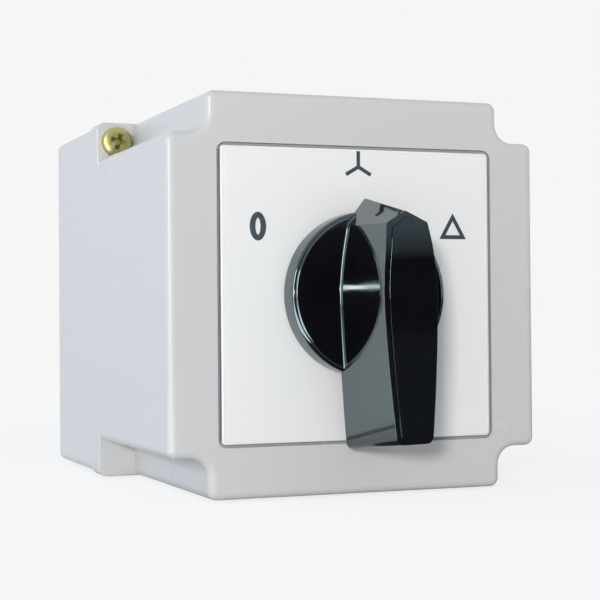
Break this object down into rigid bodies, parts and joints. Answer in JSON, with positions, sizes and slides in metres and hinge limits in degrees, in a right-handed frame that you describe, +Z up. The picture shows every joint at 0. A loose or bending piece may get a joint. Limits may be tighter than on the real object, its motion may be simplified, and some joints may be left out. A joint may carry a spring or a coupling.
{
  "type": "star-delta cam switch",
  "caption": "Surface-mounted grey plastic box with a black lever handle on a square silver dial, turning a cam switch.",
  "frame": {"origin": "centre of the flat back face that goes against the wall", "axes": "+Z up, front facing -Y with the shaft's axis along Y, +X to the right as seen from the front"},
  "size_m": [0.082, 0.1264, 0.082],
  "materials": {
    "shell_grey": "light warm grey moulded plastic, fine satin texture",
    "base_grey": "light cool grey moulded plastic, fine satin texture",
    "black_gloss": "glossy black moulded plastic",
    "inner_black": "matt black moulding",
    "legend_metal": "satin silver-white anodised sheet",
    "legend_ink": "dark grey-blue printed ink",
    "yellow_zinc": "yellow passivated zinc on steel",
    "zinc_steel": "bright zinc-plated steel",
    "brass": "turned brass",
    "copper": "copper strip with silvered tips",
    "cream_moulding": "cream thermoset moulding",
    "cam_red": "dark red moulded cam",
    "rubber": "black rubber"
  },
  "bodies": {
    "enclosure": {"base_box": "base_grey", "cover": "shell_grey", "cover_gasket": "rubber", "cover_screws": "yellow_zinc", "thread_inserts": "brass", "earth_block": "brass", "earth_screws": "yellow_zinc", "legend_plate": "legend_metal", "legend_symbols": "legend_ink", "shaft_seal": "rubber", "mounting_screws": "zinc_steel", "latch_housing": "inner_black", "latch_plate": "cream_moulding", "end_plate": "cream_moulding", "tie_bolts": "zinc_steel", "fixed_contacts": "copper", "terminal_screws": "zinc_steel", "detent_spring_right": "zinc_steel", "detent_spring_left": "zinc_steel", "chamber_1": "cream_moulding", "contact_spring_1_right": "zinc_steel", "contact_spring_1_left": "zinc_steel", "chamber_2": "cream_moulding", "contact_spring_2_right": "zinc_steel", "contact_spring_2_left": "zinc_steel", "chamber_3": "cream_moulding", "contact_spring_3_right": "zinc_steel", "contact_spring_3_left": "zinc_steel", "chamber_4": "cream_moulding", "contact_spring_4_right": "zinc_steel", "contact_spring_4_left": "zinc_steel"},
    "rotor": {"handle": "black_gloss", "handle_cap": "black_gloss", "handle_screw": "zinc_steel", "shaft": "zinc_steel", "detent_wheel": "cream_moulding", "cam_1": "cam_red", "cam_2": "cam_red", "cam_3": "cam_red", "cam_4": "cam_red"},
    "detent_right": {"detent_slider_right": "zinc_steel"},
    "detent_left": {"detent_slider_left": "zinc_steel"},
    "contact_1_right": {"plunger_1_right": "inner_black", "bridge_1_right": "copper"},
    "contact_1_left": {"plunger_1_left": "inner_black", "bridge_1_left": "copper"},
    "contact_2_right": {"plunger_2_right": "inner_black", "bridge_2_right": "copper"},
    "contact_2_left": {"plunger_2_left": "inner_black", "bridge_2_left": "copper"},
    "contact_3_right": {"plunger_3_right": "inner_black", "bridge_3_right": "copper"},
    "contact_3_left": {"plunger_3_left": "inner_black", "bridge_3_left": "copper"},
    "contact_4_right": {"plunger_4_right": "inner_black", "bridge_4_right": "copper"},
    "contact_4_left": {"plunger_4_left": "inner_black", "bridge_4_left": "copper"}
  },
  "joints": [
    {"name": "handle_turn", "type": "hinge", "parent": "enclosure", "child": "rotor", "pos_m": [0, -0.101, 0], "axis": [0, 1, 0], "range_deg": [-60, 60]},
    {"name": "detent_right_slide", "type": "slide", "parent": "enclosure", "child": "detent_right", "axis": [1, 0, 0], "range_m": [0, 0.002], "stiffness_N_per_m": 200, "springref_m": -0.002, "deforming": ["detent_spring_right"]},
    {"name": "detent_left_slide", "type": "slide", "parent": "enclosure", "child": "detent_left", "axis": [-1, 0, 0], "range_m": [0, 0.002], "stiffness_N_per_m": 200, "springref_m": -0.002, "deforming": ["detent_spring_left"]},
    {"name": "contact_1_right_slide", "type": "slide", "parent": "enclosure", "child": "contact_1_right", "axis": [1, 0, 0], "range_m": [0, 0.0024], "stiffness_N_per_m": 200, "springref_m": -0.002, "deforming": ["contact_spring_1_right"]},
    {"name": "contact_1_left_slide", "type": "slide", "parent": "enclosure", "child": "contact_1_left", "axis": [-1, 0, 0], "range_m": [0, 0.0024], "stiffness_N_per_m": 200, "springref_m": -0.002, "deforming": ["contact_spring_1_left"]},
    {"name": "contact_2_right_slide", "type": "slide", "parent": "enclosure", "child": "contact_2_right", "axis": [1, 0, 0], "range_m": [0, 0.0024], "stiffness_N_per_m": 200, "springref_m": -0.002, "deforming": ["contact_spring_2_right"]},
    {"name": "contact_2_left_slide", "type": "slide", "parent": "enclosure", "child": "contact_2_left", "axis": [-1, 0, 0], "range_m": [0, 0.0024], "stiffness_N_per_m": 200, "springref_m": -0.002, "deforming": ["contact_spring_2_left"]},
    {"name": "contact_3_right_slide", "type": "slide", "parent": "enclosure", "child": "contact_3_right", "axis": [1, 0, 0], "range_m": [0, 0.0024], "stiffness_N_per_m": 200, "springref_m": -0.002, "deforming": ["contact_spring_3_right"]},
    {"name": "contact_3_left_slide", "type": "slide", "parent": "enclosure", "child": "contact_3_left", "axis": [-1, 0, 0], "range_m": [0, 0.0024], "stiffness_N_per_m": 200, "springref_m": -0.002, "deforming": ["contact_spring_3_left"]},
    {"name": "contact_4_right_slide", "type": "slide", "parent": "enclosure", "child": "contact_4_right", "axis": [1, 0, 0], "range_m": [0, 0.0024], "stiffness_N_per_m": 200, "springref_m": -0.002, "deforming": ["contact_spring_4_right"]},
    {"name": "contact_4_left_slide", "type": "slide", "parent": "enclosure", "child": "contact_4_left", "axis": [-1, 0, 0], "range_m": [0, 0.0024], "stiffness_N_per_m": 200, "springref_m": -0.002, "deforming": ["contact_spring_4_left"]}
  ]
}
